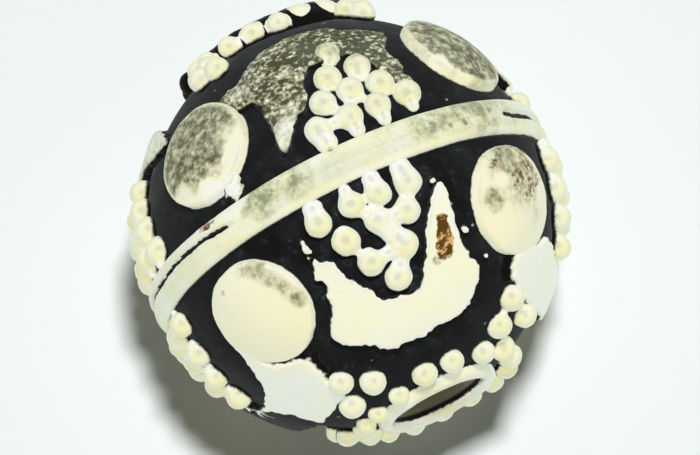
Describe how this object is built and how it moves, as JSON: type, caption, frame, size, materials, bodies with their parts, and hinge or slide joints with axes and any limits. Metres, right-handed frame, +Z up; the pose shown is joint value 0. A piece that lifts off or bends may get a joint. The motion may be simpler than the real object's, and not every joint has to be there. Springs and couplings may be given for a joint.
{
  "type": "granulated metal bead",
  "caption": "Hollow round silver bead with a wire belt, domed buttons, crescent plates and granulation around a through string hole",
  "frame": {"origin": "centre of the hollow ball, midway along the string hole", "axes": "+Y along the string hole, +Z up with the bead lying on its side; the near half with the closer view is at -Y"},
  "size_m": [0.0118, 0.0116, 0.0118],
  "materials": {
    "oxidised_shell": "satin black sulphide patina on silver, with fine pale scratches and specks",
    "belt_silver": "worn bright silver wire with olive-grey mottling and a few pits",
    "eyelet_silver": "worn bright silver wire",
    "button_silver": "warm pale silver, brushed, with mottled grey-olive tarnish",
    "plate_silver": "warm pale silver sheet with ragged edges and tarnished patches",
    "granule_silver": "bright silver granules with dark feet"
  },
  "bodies": {
    "root": {"far_back_crescent": "plate_silver", "far_back_granule_triangle": "granule_silver", "far_back_left_button": "button_silver", "far_back_left_granule_triad": "granule_silver", "far_back_right_button": "button_silver", "far_back_right_granule_triad": "granule_silver", "far_belt_wire": "belt_silver", "far_eyelet": "eyelet_silver", "far_front_crescent": "plate_silver", "far_front_granule_triangle": "granule_silver", "far_front_left_button": "button_silver", "far_front_left_granule_triad": "granule_silver", "far_front_right_button": "button_silver", "far_front_right_granule_triad": "granule_silver", "far_granule_ring": "granule_silver", "far_left_crescent": "plate_silver", "far_left_granule_triangle": "granule_silver", "far_right_crescent": "plate_silver", "far_right_granule_triangle": "granule_silver", "far_shell": "oxidised_shell", "near_back_crescent": "plate_silver", "near_back_granule_triangle": "granule_silver", "near_back_left_button": "button_silver", "near_back_left_granule_triad": "granule_silver", "near_back_right_button": "button_silver", "near_back_right_granule_triad": "granule_silver", "near_belt_wire": "belt_silver", "near_eyelet": "eyelet_silver", "near_front_crescent": "plate_silver", "near_front_granule_triangle": "granule_silver", "near_front_left_button": "button_silver", "near_front_left_granule_triad": "granule_silver", "near_front_right_button": "button_silver", "near_front_right_granule_triad": "granule_silver", "near_granule_ring": "granule_silver", "near_left_crescent": "plate_silver", "near_left_granule_triangle": "granule_silver", "near_right_crescent": "plate_silver", "near_right_granule_triangle": "granule_silver", "near_shell": "oxidised_shell"}
  },
  "joints": []
}
